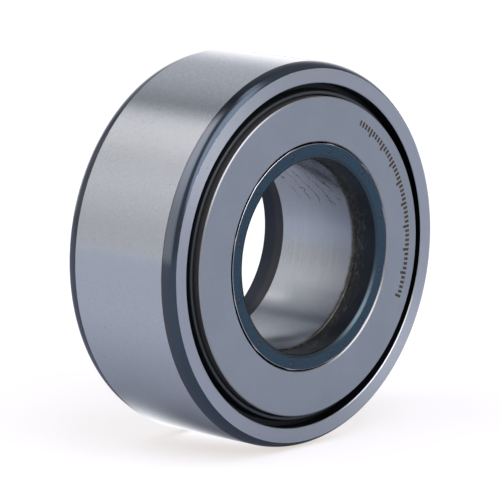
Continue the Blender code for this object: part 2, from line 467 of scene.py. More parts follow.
# Colours
TREAD_STEEL = (0.64, 0.65, 0.665)
SIDE_STEEL = (0.635, 0.647, 0.675)
WASHER_STEEL = (0.492, 0.515, 0.545)
BORE_STEEL = (0.58, 0.59, 0.61)
RIM_STEEL = (0.70, 0.67, 0.66)
# Near-black painted shade for the outer ring's recess
RECESS_SHADE_STEEL = (0.035, 0.035, 0.042)
OXIDE_LILAC = (0.108, 0.111, 0.131)
OXIDE_BLUE = (0.088, 0.108, 0.135)
INNER_BLUE = (0.067, 0.124, 0.163)
INNER_BROWN = (0.082, 0.102, 0.125)
# The relief's own near-black, also used as painted shade on the washers' bore chamfer and the inner ring's rim
# wall
RELIEF_BLACK_AND_SHADE = (0.040, 0.046, 0.058)
# Painted shade for the lower part of the front relief
RELIEF_LOW_SHADE = (0.012, 0.013, 0.017)
MOUTH_TEAL = (0.072, 0.098, 0.112)
WASHER_RIM_STEEL = (0.26, 0.255, 0.26)
CHAMFER_STEEL = (0.475, 0.455, 0.44)
MARK_DARK = (0.10, 0.095, 0.09)
PUNCH_DARK = (0.05, 0.055, 0.065)
PUNCH_PALE = (0.115, 0.125, 0.145)
THREAD_GREY = (0.13, 0.13, 0.125)
RELIEF_REAR = (0.043, 0.048, 0.060)
RELIEF_BROWN = (0.064, 0.064, 0.069)
# Painted shade over the bore's front half
FRONT_SHADE_GREY = (0.255, 0.28, 0.335)
# Painted dark reflection and painted shade in the bore
DARK_REFLECTION_GREY = (0.175, 0.195, 0.235)
OIL_OLIVE = (0.105, 0.095, 0.068)
STAIN_TAN = (0.40, 0.35, 0.27)
ETCH_BRONZE = (0.135, 0.098, 0.064)
PIT_GREY = (0.16, 0.16, 0.17)
PIT_PALE = (0.20, 0.20, 0.18)
SEAL_BLACK = ((0.008, 0.009, 0.010), (0.016, 0.018, 0.020))
# A painted highlight for the seal ridge
SEAL_RIDGE_HIGHLIGHT = ((0.030, 0.034, 0.037), (0.052, 0.058, 0.063))
CAGE_BROWN = ((0.045, 0.043, 0.04), (0.085, 0.08, 0.07))
NEEDLE_STEEL = (0.70, 0.71, 0.73)

# A pair below says where a pattern is absent and where it is full, as Nodes.step takes it.
# Lengths and places are in millimetres.
TINT_STEP = (0.3, 0.7)

# Outer ring: the blued edge's borders, dust on the upper side, one faint stain, pits, and where the painted
# shade of the recess begins
BORDER_WOBBLE = 0.12
BORDER_SOFT = 0.02
EDGE_BORDER = HALF_RING - EDGE_LENGTH
EDGE_FOOT = OUTER_RADIUS - EDGE_DROP
TREAD_BORDER = (OUTER_RADIUS - 0.3, OUTER_RADIUS - 0.1)
SIDE_BORDER = (EDGE_FOOT + 0.3, EDGE_FOOT + 0.05)
RECESS_BORDER = (FACE_INNER_RADIUS - 0.12, FACE_INNER_RADIUS - 0.2)
TREAD_GRAIN = 0.07
DUST_GRAIN = 0.1
DUST_HEIGHT = (22.0, 34.0)
SPECK_HEIGHT = (34.0, 38.5)
STAIN_PLACE = (-30.5, 5.0, 25.5)
STAIN_REACH = (10.0, 3.0)
STAIN_SPECKS = (0.6, 0.68)
STAIN_STRENGTH = 0.6
PIT_STRENGTH = 0.75
OXIDE_CHANGE = (0.35, 0.7)
OXIDE_RAGGED = 0.15
OXIDE_GRAIN = 0.07
TREAD_ROUGHNESS = 0.22
SIDE_ROUGHNESS = 0.34
OXIDE_ROUGHNESS = 0.16
TREAD_ANISOTROPY = 0.88
SIDE_ANISOTROPY = 0.8
TURNING_BUMP = 2.5

# The scale on the front washer: its radii, arc and pitch, a stroke's half width as a share of the pitch,
# and how much shorter the strokes between every fifth one are
MARK_INNER = 28.9
MARK_OUTER = 30.7
MARK_FROM = math.radians(-25.0)
MARK_TO = math.radians(60.0)
MARK_PITCH = math.radians(1.9)
MARK_STROKE = 0.29
MARK_GROUP = 5.0
MARK_SHORTER = 0.6
MARK_DEPTH = 0.05
MARK_WEAR = (0.1, 0.42)

# Washers: scratches that run two ways, where the chamfers and the rim begin, and how deep the painted shade on
# the bore chamfer starts
SCRATCH_ALONG = 0.07
SCRATCH_ACROSS = 2.3
SCRATCH_SOFT = 0.06
SCRATCH_SHARE = 0.27
SCRATCH_TURNS = (1.1, 2.0)
SCRATCH_STRENGTH = 0.3
WASHER_PIT_STRENGTH = 0.6
GROOVE_DEPTH = (HALF_WIDTH - 0.2, HALF_WIDTH - 0.28)
BORE_CHAMFER_OUTER = SEAT_RADIUS + WASHER_BORE_CHAMFER
BORE_CHAMFER = (BORE_CHAMFER_OUTER + 0.07, BORE_CHAMFER_OUTER + 0.03)
WASHER_RIM = (WASHER_RADIUS - 0.1, WASHER_RADIUS - 0.03)
WASHER_CHAMFER = (WASHER_RADIUS - 0.24, WASHER_RADIUS - 0.2)

# Bore: dried runs of oil near one place, a painted dark reflection along the lower side (angles about the
# axis), painted shade low and high at the front, and painted shade over the front half
RUN_PLACE = (13.4, -1.0, 14.9)
RUN_REACH = (14.5, 13.0)
RUN_RAGGED = 9.0
RUN_SPACING = 3.0
RUN_DRIFT = 0.6
RUN_WAVE = 4.5
RUN_LINE = (0.06, 0.02)
RUN_STRENGTH = 0.85
DARK_REFLECTION_WIDE = (math.radians(-28.0), math.radians(-50.0))
DARK_REFLECTION_NARROW = (math.radians(-42.0), math.radians(-50.0))
DARK_REFLECTION_END = (math.radians(-60.0), math.radians(-52.0))
DARK_REFLECTION_WIDENS = (8.0, 1.0)
BORE_SHADE_FRONT = (0.0, -6.0)
LOW_SHADE_HEIGHT = (-18.9, -19.8)
HIGH_SHADE_HEIGHT = (11.0, 14.5)
FRONT_SHADE_THIN_FROM = math.radians(-62.0)
FRONT_SHADE_THIN_TO = math.radians(-10.0)
FRONT_SHADE_THIN_SOFT = math.radians(5.0)
FRONT_SHADE_START = (5.0, -9.5)

# Seal rings: the radii of the painted highlight on the ridge and how soft its borders are
SEAL_HIGHLIGHT_BAND = (SEAL_RIDGE_INNER - 0.05, SEAL_RIDGE_OUTER - 0.12, 0.08)

# Inner ring: where the land, mouth, rim and relief begin, the oil on the front relief, and where painted shade
# covers the rim's side wall and the relief's lower part
IN_BORE = (RELIEF_RADIUS + 0.3, RELIEF_RADIUS + 0.1)
ON_LAND = (BORE_RADIUS + 0.06, BORE_RADIUS + 0.03)
LAND_END = (GROUND_END - 0.1, GROUND_END - 0.3)
LAND_DRIFT = 0.8
FRONT_HALF = (2.0, -2.0)
MOUTH = (MOUTH_RADIUS + 0.02, MOUTH_RADIUS - 0.04)
RIM = (RIM_RADIUS - 0.11, RIM_RADIUS - 0.08)
RIM_WALL_SHADE_DEPTH = (RING_END - 0.055, RING_END - 0.08)
PUNCH_RING = (0.5, 0.74, 0.16)
PUNCH_RING_STRENGTH = 0.5
PUNCH_CENTRE = (0.6, 0.3)
PUNCH_CENTRE_STRENGTH = 0.8
FRINGE = (GROUND_END - 1.4, GROUND_END - 0.2)
EDGE_OIL = (GROUND_END + 3.0, GROUND_END + 0.4)
NEAR_LAND = (GROUND_END + 4.0, GROUND_END + 2.0)
THREAD_LINE = (0.02, 0.008)
THREAD_STRENGTH = 0.75
RELIEF_SHADE_HEIGHT = (-16.5, -19.5)
RELIEF_SHADE_STRENGTH = 0.6
PAST_LAND = (GROUND_END + 1.6, GROUND_END + 2.8)
REAR_HALF = (4.0, 10.0)
DRY_BUMP = 3.0
WET_BUMP = 12.0


def grinding(s, across=9.0, along=0.35):
    """Fine lines left by the grinding wheel, mixed with a little grain."""
    lines = s.noise(s.round_lines(across, along), scale=1.0, detail=4.0, roughness=0.65)
    grain = s.noise(s.place, scale=2.4, detail=3.0, roughness=0.6)
    return s.blend(0.55, lines, grain)


def tinted(s, color, amount, light):
    """A colour made lighter and darker by a 0..1 pattern."""
    dark = rgba(tuple(c * (1.0 - amount) for c in color))
    pale = rgba(tuple(min(1.0, c * (1.0 + amount)) for c in color))
    return s.mix(s.step(light, *TINT_STEP), dark, pale)


def pits(s, spacing, size, share):
    """Tiny round marks, in only a share of the cells of a loose grid."""
    inputs = {"Vector": s.place, "Scale": 1.0 / spacing, "Randomness": 1.0}
    cells = s.tree.nodes.new("ShaderNodeTexVoronoi")
    for key, value in inputs.items():
        s.plug(cells.inputs[key], value)
    chosen = s.math("LESS_THAN", s.split(cells.outputs["Color"])[0], share)
    return s.times(chosen, s.step(cells.outputs["Distance"], size / spacing, 0.4 * size / spacing))


def tread_color(s, lines):
    """The ground tread, with dust on its upper side and one faint stain."""
    satin = s.noise(s.place, scale=3.2, detail=2.0, roughness=0.7)
    clean = tinted(s, TREAD_STEEL, TREAD_GRAIN, s.blend(0.8, lines, satin))
    dusty = tinted(s, TREAD_STEEL, DUST_GRAIN, s.noise(s.place, scale=2.0, detail=4.0, roughness=0.8))
    color = s.mix(s.step(s.z, *DUST_HEIGHT), clean, dusty)
    specks = s.times(pits(s, spacing=2.5, size=0.3, share=0.15), s.step(s.z, *SPECK_HEIGHT))
    color = s.mix(specks, color, rgba(PIT_GREY))
    away = s.distance(s.place, STAIN_PLACE)
    spots = s.step(s.noise(s.place, scale=2.2, detail=3.0), *STAIN_SPECKS)
    stain = s.times(s.step(away, *STAIN_REACH), spots)
    return s.mix(s.times(stain, STAIN_STRENGTH), color, rgba(STAIN_TAN))


def oxide_color(s, turning):
    """The blued edge, bluer towards the side face."""
    share = s.over(s.minus(s.depth, EDGE_BORDER), EDGE_LENGTH)
    change = s.step(s.plus(share, s.times(turning, OXIDE_RAGGED)), *OXIDE_CHANGE)
    lilac = tinted(s, OXIDE_LILAC, OXIDE_GRAIN, turning)
    return s.mix(change, lilac, tinted(s, OXIDE_BLUE, OXIDE_GRAIN, turning))


def outer_ring_material():
    s = Surface("outer_ring_steel")
    lines = grinding(s)
    wobble = s.times(s.minus(s.noise(s.place, scale=0.5), 0.5), BORDER_WOBBLE)
    past_tread = s.step(s.plus(s.depth, wobble), EDGE_BORDER - BORDER_SOFT, EDGE_BORDER + BORDER_SOFT)
    above_face = s.step(s.plus(s.radius, wobble), EDGE_FOOT - BORDER_SOFT, EDGE_FOOT + BORDER_SOFT)
    edge = s.times(past_tread, above_face)

    side = tinted(s, SIDE_STEEL, 0.04, lines)
    ground = s.mix(s.step(s.radius, *TREAD_BORDER), side, tread_color(s, lines))
    ground_pits = s.times(pits(s, spacing=3.0, size=0.2, share=0.3), PIT_STRENGTH)
    ground = s.mix(ground_pits, ground, rgba(PIT_GREY))
    turning = s.noise(s.round_lines(5.0, 0.05), scale=1.0, detail=3.0)
    color = s.mix(edge, ground, oxide_color(s, turning))
    # Inside the recess the steel turns near-black: painted shade of the deep gap between ring and seal
    color = s.mix(s.step(s.radius, *RECESS_BORDER), color, rgba(RECESS_SHADE_STEEL))

    on_side = s.step(s.radius, *SIDE_BORDER)
    roughness = s.blend(edge, s.blend(on_side, TREAD_ROUGHNESS, SIDE_ROUGHNESS), OXIDE_ROUGHNESS)
    aniso = s.blend(edge, s.blend(on_side, TREAD_ANISOTROPY, SIDE_ANISOTROPY), 0.0)
    height = s.blend(edge, lines, s.times(turning, TURNING_BUMP))
    return s.finish(color, roughness, bump=height, bump_height=0.0012, aniso=aniso)


def etched_marks(s):
    """A plain scale of short radial strokes on the front washer, longer at every fifth."""
    turned_by = s.over(s.minus(s.angle, MARK_FROM), MARK_PITCH)
    off_stroke = s.math("ABSOLUTE", s.minus(s.math("FRACT", turned_by), 0.5))
    stroke = s.math("LESS_THAN", off_stroke, MARK_STROKE)
    fifth = s.math("LESS_THAN", s.math("FRACT", s.over(turned_by, MARK_GROUP)), 1.0 / MARK_GROUP)
    inner = s.plus(MARK_INNER, s.times(s.minus(1.0, fifth), MARK_SHORTER))
    band = s.times(s.math("GREATER_THAN", s.radius, inner), s.math("LESS_THAN", s.radius, MARK_OUTER))
    arc = s.times(s.math("GREATER_THAN", s.angle, MARK_FROM), s.math("LESS_THAN", s.angle, MARK_TO))
    front = s.math("LESS_THAN", s.y, MARK_DEPTH - HALF_WIDTH)
    worn = s.step(s.noise(s.place, scale=2.2, detail=4.0), *MARK_WEAR)
    return s.times(s.times(s.times(stroke, band), s.times(arc, front)), worn)


def scratches(s, turn):
    """Long, thin, straight marks that run one way across a face."""
    along = s.plus(s.times(s.x, math.cos(turn)), s.times(s.z, math.sin(turn)))
    across = s.minus(s.times(s.z, math.cos(turn)), s.times(s.x, math.sin(turn)))
    stretched = s.vector(s.times(along, SCRATCH_ALONG), s.times(across, SCRATCH_ACROSS), 0.0)
    pattern = s.noise(stretched, scale=1.0, detail=1.0)
    return s.step(pattern, 1.0 - SCRATCH_SHARE, 1.0 - SCRATCH_SHARE + SCRATCH_SOFT)


def washer_material():
    s = Surface("washer_steel")
    lines = grinding(s, across=4.0, along=2.0)
    patches = s.noise(s.place, scale=0.12, detail=4.0)
    satin = s.noise(s.place, scale=2.0, detail=3.0, roughness=0.7)
    color = tinted(s, WASHER_STEEL, 0.06, s.blend(0.45, s.blend(0.5, lines, satin), patches))
    fine = s.math("MAXIMUM", *(scratches(s, turn) for turn in SCRATCH_TURNS))
    color = s.mix(s.times(fine, SCRATCH_STRENGTH), color, rgba(RIM_STEEL))
    face_pits = s.times(pits(s, spacing=6.0, size=0.25, share=0.15), WASHER_PIT_STRENGTH)
    color = s.mix(face_pits, color, rgba(PIT_GREY))

    # Deeper in, the bore chamfer is painted near-black: painted shade under the inner ring's rim. The rim's
    # own dark colour starts at the same depth
    in_groove = s.step(s.depth, *GROOVE_DEPTH)
    chamfer_and_shade = s.mix(in_groove, rgba(CHAMFER_STEEL), rgba(RELIEF_BLACK_AND_SHADE))
    color = s.mix(s.step(s.radius, *BORE_CHAMFER), color, chamfer_and_shade)
    rim = s.times(s.step(s.radius, *WASHER_RIM), in_groove)
    color = s.mix(rim, color, rgba(WASHER_RIM_STEEL))
    chamfer = s.times(s.step(s.radius, *WASHER_CHAMFER), s.minus(1.0, rim))
    color = s.mix(chamfer, color, rgba(CHAMFER_STEEL))
    marks = etched_marks(s)
    color = s.mix(marks, color, rgba(ETCH_BRONZE))
    roughness = s.blend(rim, s.blend(marks, s.blend(lines, 0.30, 0.36), 0.55), 0.5)
    return s.finish(color, roughness, bump=lines, bump_height=0.0015)


def stake_distance(s):
    """Distance from the nearest punch mark, in millimetres."""
    pitch = math.tau / STAKE_COUNT
    turned_by = s.math("FRACT", s.plus(s.over(s.minus(s.angle, STAKE_PHASE), pitch), 0.5))
    fold = s.times(s.minus(turned_by, 0.5), pitch)
    outward = s.minus(s.times(s.radius, s.math("COSINE", fold)), STAKE_CIRCLE)
    sideways = s.times(s.radius, s.math("SINE", fold))
    return s.math("SQRT", s.plus(s.square(outward), s.square(sideways)))


def dried_runs(s):
    """A few thin, wavy runs of dried oil that creep down the bore's upper side and towards the front."""
    around = s.times(s.angle, BORE_RADIUS)
    wave = s.noise(s.place, scale=0.4, detail=4.0, roughness=0.6)
    drifted = s.plus(s.minus(s.y, s.times(around, RUN_DRIFT)), s.times(wave, RUN_WAVE))
    off_line = s.math("ABSOLUTE", s.minus(s.math("FRACT", s.over(drifted, RUN_SPACING)), 0.5))
    away = s.distance(s.place, RUN_PLACE)
    ragged = s.plus(away, s.times(s.noise(s.place, scale=0.3, detail=2.0), RUN_RAGGED))
    return s.times(s.step(off_line, *RUN_LINE), s.step(ragged, *RUN_REACH))


def painted_dark_reflection(s):
    """How strongly a painted dark reflection covers a band on the bore's lower side, and painted shade at its
    front end below and above.
    """
    wide = s.times(s.step(s.angle, *DARK_REFLECTION_WIDE), 0.75)
    narrow = s.times(s.step(s.angle, *DARK_REFLECTION_NARROW), 0.65)
    streak = s.times(s.blend(s.step(s.y, *DARK_REFLECTION_WIDENS), narrow, wide), s.step(s.angle, *DARK_REFLECTION_END))
    at_front = s.step(s.y, *BORE_SHADE_FRONT)
    low_shade = s.times(s.step(s.z, *LOW_SHADE_HEIGHT), s.times(at_front, 0.7))
    above = s.times(s.step(s.z, *HIGH_SHADE_HEIGHT), s.times(at_front, 0.45))
    return s.math("MAXIMUM", streak, s.math("MAXIMUM", low_shade, above))


def blued_face(s, mottle):
    """The blued end face with its punch marks and the mouth of the bore."""
    face = s.mix(s.step(mottle, 0.42, 0.72), rgba(INNER_BLUE), rgba(INNER_BROWN))
    from_stake = stake_distance(s)
    ring = s.times(s.between(from_stake, *PUNCH_RING), PUNCH_RING_STRENGTH)
    face = s.mix(ring, face, rgba(PUNCH_DARK))
    middle = s.times(s.step(from_stake, *PUNCH_CENTRE), PUNCH_CENTRE_STRENGTH)
    face = s.mix(middle, face, rgba(PUNCH_PALE))
    face = s.mix(s.times(pits(s, spacing=2.4, size=0.12, share=0.2), 0.5), face, rgba(PIT_PALE))
    return s.mix(s.step(s.radius, *MOUTH), face, rgba(MOUTH_TEAL))


def bore_color(s, into, at_front, crumbs):
    """The ground bore, darkened by painted shade over its front half, a painted dark reflection on its lower
    side and painted shade low and high at the front, with an oily fringe at its front end and dried runs.
    """
    around = s.noise(s.round_lines(3.0, 0.12), scale=1.0, detail=4.0, roughness=0.7)
    satin = s.noise(s.place, scale=3.0, detail=2.0, roughness=0.7)
    bore = tinted(s, BORE_STEEL, 0.085, s.blend(0.5, around, satin))
    lower_side = s.between(s.angle, FRONT_SHADE_THIN_FROM, FRONT_SHADE_THIN_TO, FRONT_SHADE_THIN_SOFT)
    # Painted shade over the front half of the bore, lighter along the lower side
    bore = s.mix(s.times(s.step(s.y, *FRONT_SHADE_START), s.blend(lower_side, 0.5, 0.3)), bore, rgba(FRONT_SHADE_GREY))
    # Painted dark reflection on the lower side and painted shade low and high at the front
    bore = s.mix(painted_dark_reflection(s), bore, rgba(DARK_REFLECTION_GREY))
    fringe = s.times(s.step(into, *FRINGE), at_front)
    fringe = s.times(fringe, s.step(s.plus(crumbs, s.times(fringe, 0.35)), 0.45, 0.7))
    bore = s.mix(fringe, bore, rgba(OIL_OLIVE))
    return s.mix(s.times(dried_runs(s), RUN_STRENGTH), bore, rgba(MARK_DARK))


def relief_color(s, wet, into, at_front):
    """The dark relieved ends of the bore: wet with oil at the front, with painted shade on the lower part,
    plain at the rear.
    """
    relief = s.mix(wet, rgba(RELIEF_BLACK_AND_SHADE), rgba(OIL_OLIVE))
    # Painted shade darkens the relief's lower part
    relief = s.mix(s.times(s.step(s.z, *RELIEF_SHADE_HEIGHT), RELIEF_SHADE_STRENGTH), relief, rgba(RELIEF_LOW_SHADE))
    curls = s.noise(s.round_lines(0.5, 0.2), scale=1.0, detail=2.0)
    near_land = s.times(s.step(into, *NEAR_LAND), at_front)
    threads = s.step(s.math("ABSOLUTE", s.minus(curls, 0.5)), *THREAD_LINE)
    relief = s.mix(s.times(threads, s.times(near_land, THREAD_STRENGTH)), relief, rgba(THREAD_GREY))
    rear = s.mix(s.step(s.y, *PAST_LAND), rgba(RELIEF_BROWN), rgba(RELIEF_REAR))
    return s.mix(s.step(s.y, *REAR_HALF), relief, rear)


def inner_ring_material():
    s = Surface("inner_ring_steel")
    lines = grinding(s)
    in_bore = s.step(s.radius, *IN_BORE)
    at_front = s.step(s.y, *FRONT_HALF)
    drift = s.times(s.minus(s.noise(s.place, scale=0.8, detail=5.0), 0.5), LAND_DRIFT)
    into = s.plus(s.depth, s.times(drift, at_front))
    ground = s.times(s.step(s.radius, *ON_LAND), s.step(into, *LAND_END))
    mottle = s.noise(s.place, scale=0.7, detail=5.0, roughness=0.65)
    crumbs = s.noise(s.place, scale=1.7, detail=4.0, roughness=0.7)
    streaks = s.noise(s.round_lines(2.4, 0.5), scale=1.0, detail=4.0, roughness=0.65)
    oily = s.step(s.blend(0.5, streaks, crumbs), 0.42, 0.58)
    wet = s.times(oily, s.times(s.step(into, *EDGE_OIL), at_front))

    color = s.mix(in_bore, blued_face(s, mottle), relief_color(s, wet, into, at_front))
    color = s.mix(ground, color, bore_color(s, into, at_front, crumbs))
    # The rim's side wall is painted near-black: painted shade of the narrow groove at the washer. The rim's
    # chamfer keeps pale bare steel
    rim = s.mix(s.step(s.depth, *RIM_WALL_SHADE_DEPTH), rgba(RIM_STEEL), rgba(RELIEF_BLACK_AND_SHADE))
    color = s.mix(s.step(s.radius, *RIM), color, rim)
    dull = s.blend(in_bore, s.blend(mottle, 0.2, 0.34), s.blend(wet, 0.3, 0.55))
    roughness = s.blend(ground, dull, s.blend(lines, 0.22, 0.3))
    rough_film = s.times(s.blend(wet, streaks, crumbs), s.blend(wet, DRY_BUMP, WET_BUMP))
    height = s.blend(in_bore, s.times(mottle, 0.6), s.blend(ground, rough_film, lines))
    return s.finish(color, roughness, bump=height, bump_height=0.003, aniso=s.blend(ground, 0.0, 0.5))


def seal_material():
    s = Surface("seal_black_plastic")
    grain = s.noise(s.place, scale=6.0, detail=3.0)
    # The ridge is painted lighter grey and glossier: a painted highlight where the rounded ridge catches the
    # light
    on_ridge_highlight = s.between(s.radius, *SEAL_HIGHLIGHT_BAND)
    black, highlight_grey = (s.mix(grain, *map(rgba, tones)) for tones in (SEAL_BLACK, SEAL_RIDGE_HIGHLIGHT))
    s.plug(s.shader.inputs["Specular IOR Level"], s.blend(on_ridge_highlight, 0.2, 0.5))
    roughness = s.blend(grain, 0.28, 0.38)
    return s.finish(s.mix(on_ridge_highlight, black, highlight_grey), roughness, metallic=0.0, bump=grain, bump_height=0.003)


def cage_material():
    s = Surface("cage_filled_plastic")
    grain = s.noise(s.place, scale=4.0, detail=4.0)
    color = s.mix(grain, *map(rgba, CAGE_BROWN))
    return s.finish(color, s.blend(grain, 0.38, 0.52), metallic=0.0, bump=grain, bump_height=0.008)


def needle_material():
    s = Surface("needle_steel")
    lines = s.noise(s.vector(s.times(s.x, 2.0), s.y, s.times(s.z, 2.0)), scale=2.5)
    color = tinted(s, NEEDLE_STEEL, 0.04, lines)
    return s.finish(color, s.blend(lines, 0.10, 0.16), bump=lines, bump_height=0.001)


# ---------------------------------------------------------------- pieces


def tread_edge(steps=12, first=0.25, last=0.97):
    """The turned rounding between tread and side face, cut off by grinding at both of its ends."""
    fall = [math.sqrt(1.0 - (first + (last - first) * i / steps) ** 2) for i in range(steps + 1)]
    points = []
    for i, level in enumerate(fall):
        y = HALF_RING - EDGE_LENGTH * (1.0 - i / steps)
        radius = OUTER_RADIUS - EDGE_DROP * (fall[0] - level) / (fall[0] - fall[-1])
        points.append((y, radius, 0.03 if i in (0, steps) else 0.0))
    return points


def make_outer_ring():
    shoulder = HALF_RING - RECESS_DEPTH
    half = [
        (shoulder - RACEWAY_CHAMFER, OUTER_RACEWAY, 0.1),
        (shoulder, OUTER_RACEWAY + RACEWAY_CHAMFER, 0.1),
        (shoulder, RECESS_RADIUS, 0.1),
        (HALF_RING - RECESS_CHAMFER, RECESS_RADIUS, 0.05),
        (HALF_RING, FACE_INNER_RADIUS, 0.05),
    ]
    section = rounded(both_halves(half + list(reversed(tread_edge()))))
    ring = turned_object("outer_ring_turned", section, outer_ring_material())
    stands_for(ring, "outer_ring_assembly", "outer_ring")


def make_washers():
    bore = SEAT_RADIUS + FIT_GAP
    section = [
        (WASHER_BACK, bore, 0.05),
        (HALF_WIDTH - WASHER_BORE_CHAMFER, bore, 0.03),
        (HALF_WIDTH, bore + WASHER_BORE_CHAMFER, 0.03),
        (HALF_WIDTH, WASHER_RADIUS - WASHER_FRONT_CHAMFER, 0.05),
        (HALF_WIDTH - WASHER_FRONT_CHAMFER, WASHER_RADIUS, 0.08),
        (WASHER_BACK + WASHER_BACK_CHAMFER, WASHER_RADIUS, 0.1),
        (WASHER_BACK, WASHER_RADIUS - WASHER_BACK_CHAMFER, 0.1),
    ]
    material = washer_material()
    for end, side in (("front", -1), ("rear", 1)):
        washer = turned_object(f"side_washer_{end}_ground", rounded(on_side(section, side)), material)
        stands_for(washer, "inner_ring_assembly", "side_washer_" + end)


def make_seals():
    back = HALF_RING - RECESS_DEPTH + FIT_GAP
    top = back + SEAL_DEPTH
    web = back + SEAL_WEB
    lip = WASHER_BACK - SEAL_LIP_GAP
    section = [
        (back, SEAL_INNER, 0.1),
        (lip, SEAL_INNER, 0.2),
        (lip, SEAL_LIP_OUTER, 0.2),
        (web, SEAL_WEB_INNER, 0.3),
        (web, SEAL_RIDGE_INNER, 0.2),
        (top, SEAL_RIDGE_INNER, 0.3),
        (top, SEAL_RIDGE_OUTER, 0.4),
        (web, SEAL_RIDGE_OUTER + SEAL_RIDGE_FOOT, 0.3),
        (web, SEAL_RADIUS, 0.1),
        (back, SEAL_RADIUS, 0.1),
    ]
    material = seal_material()
    for end, side in (("front", -1), ("rear", 1)):
        seal = turned_object(f"seal_ring_{end}_moulded", rounded(on_side(section, side)), material)
        stands_for(seal, "outer_ring_assembly", "seal_ring_" + end)


def stake_marks(x, z):
    """How deep the punch marks lie at a point of the end face. It is negative where their lips are raised."""
    angle = np.arctan2(z, x) - STAKE_PHASE
    pitch = math.tau / STAKE_COUNT
    nearest = np.round(angle / pitch) * pitch + STAKE_PHASE
    away = np.hypot(x - STAKE_CIRCLE * np.cos(nearest), z - STAKE_CIRCLE * np.sin(nearest)) / STAKE_RADIUS
    dish = STAKE_DEPTH * np.clip(1.0 - away**2, 0.0, 1.0)
    lip = STAKE_LIP * np.exp(-(((away - LIP_PLACE) / LIP_SPREAD) ** 2))
    return dish - lip


def stake_bulge(x, z):
    """How far the punch marks push the ring's outer rim outwards."""
    pitch = math.tau / STAKE_COUNT
    turned_by = (np.arctan2(z, x) - STAKE_PHASE) / pitch
    away = (turned_by - np.round(turned_by)) * pitch
    return STAKE_BULGE * np.exp(-((away / STAKE_BULGE_REACH) ** 2))


def drill(ring, start, end, radius):
    """Cuts a straight round hole between two points, in millimetres, and leaves no cutter behind."""
    run = Vector(end) - Vector(start)
    middle = (Vector(start) + Vector(end)) / 2.0
    half = [(run.length / 2.0, DRILL_CENTRE), (run.length / 2.0, radius)]
    grid, quads = turned(both_halves(half), HOLE_SEGMENTS)
    turn = Vector((0.0, 1.0, 0.0)).rotation_difference(run).to_matrix()
    points = grid.reshape(-1, 3) @ np.array(turn).T + np.array(middle)
    cutter = mesh_object("drill", points, quads, ring.data.materials[0])
    cut = ring.modifiers.new("hole", "BOOLEAN")
    cut.object = cutter
    cut.operation = "DIFFERENCE"
    cut.solver = "EXACT"
    bpy.context.view_layer.update()
    depsgraph = bpy.context.evaluated_depsgraph_get()
    drilled = bpy.data.meshes.new_from_object(ring.evaluated_get(depsgraph))
    ring.modifiers.clear()
    drilled.set_sharp_from_angle(angle=SHARP_ANGLE)
    ring.data = drilled
    bpy.data.objects.remove(cutter)


def finer_end_faces(section):
    """Splits the ring's end faces into short steps, so that the punch marks can be pressed into them."""
    fine = []
    for i, start in enumerate(section):
        end = section[(i + 1) % len(section)]
        on_face = min(abs(start[0]), abs(end[0])) > RING_END - FACE_REACH
        parts = max(1, math.ceil(math.dist(start, end) / FACE_STEP)) if on_face else 1
        for part in range(parts):
            fine.append(tuple(a + (b - a) * part / parts for a, b in zip(start, end)))
    return fine


def make_inner_ring():
    shoulder = WASHER_BACK - FIT_GAP
    half = [
        (GROUND_END - 0.2, BORE_RADIUS, 0.05),
        (GROUND_END, RELIEF_RADIUS, 0.05),
        (HALF_WIDTH - MOUTH_DEPTH, RELIEF_RADIUS, 0.15),
        (RING_END, MOUTH_RADIUS, 0.06),
        (RING_END, RIM_RADIUS - RIM_CHAMFER, 0.02),
        (RING_END - RIM_CHAMFER, RIM_RADIUS, 0.02),
        (HALF_WIDTH - RIM_LENGTH, RIM_RADIUS, 0.02),
        (HALF_WIDTH - RIM_SLOPE_END, SEAT_RADIUS, 0.02),
        (shoulder, SEAT_RADIUS, 0.05),
        (shoulder, INNER_RACEWAY - RACEWAY_CHAMFER, 0.05),
        (shoulder - RACEWAY_CHAMFER, INNER_RACEWAY, 0.1),
    ]
    grid, quads = turned(finer_end_faces(rounded(both_halves(half))), STAKED_SEGMENTS)
    flat = np.abs(grid[..., 1]) > RING_END - FLAT_REACH
    depth = stake_marks(grid[..., 0], grid[..., 2])
    grid[..., 1] -= np.where(flat, np.sign(grid[..., 1]) * depth, 0.0)
    radius = np.hypot(grid[..., 0], grid[..., 2])
    near_end = np.abs(grid[..., 1]) > HALF_WIDTH - BULGE_LENGTH
    at_rim = near_end * np.clip((radius - BULGE_INNER) / BULGE_BLEND, 0.0, 1.0)
    grow = 1.0 + at_rim * stake_bulge(grid[..., 0], grid[..., 2]) / radius
    grid[..., 0] *= grow
    grid[..., 2] *= grow
    ring = mesh_object("inner_ring_staked", grid, quads, inner_ring_material())
    ring.modifiers.clear()
    drill(ring, (-BORE_RADIUS / 2.0, 0.0, 0.0), (-2.0 * BORE_RADIUS, 0.0, 0.0), OIL_HOLE_RADIUS)
    add_area_normals(ring)
    stands_for(ring, "inner_ring_assembly", "inner_ring")


def make_needles():
    """Each needle has slightly rounded ends and rides on its own body."""
    material = needle_material()
    profile = [(-HALF_NEEDLE, NEEDLE_CENTRE), (-HALF_NEEDLE, NEEDLE_RADIUS - NEEDLE_ROUNDING)]
    for step in range(1, NEEDLE_ARC_STEPS + 1):
        turn = math.pi / 2.0 * step / NEEDLE_ARC_STEPS
        y = -HALF_NEEDLE + NEEDLE_ROUNDING * (1.0 - math.cos(turn))
        profile.append((y, NEEDLE_RADIUS - NEEDLE_ROUNDING * (1.0 - math.sin(turn))))
    section = profile + [(-y, r) for y, r in reversed(profile)]
    for name in NEEDLES:
        middle = np.array(centre(name)) / MM
        grid, quads = turned(section, NEEDLE_SEGMENTS)
        needle = mesh_object(name + "_lapped", grid + middle, quads, material)
        stands_for(needle, name, name)


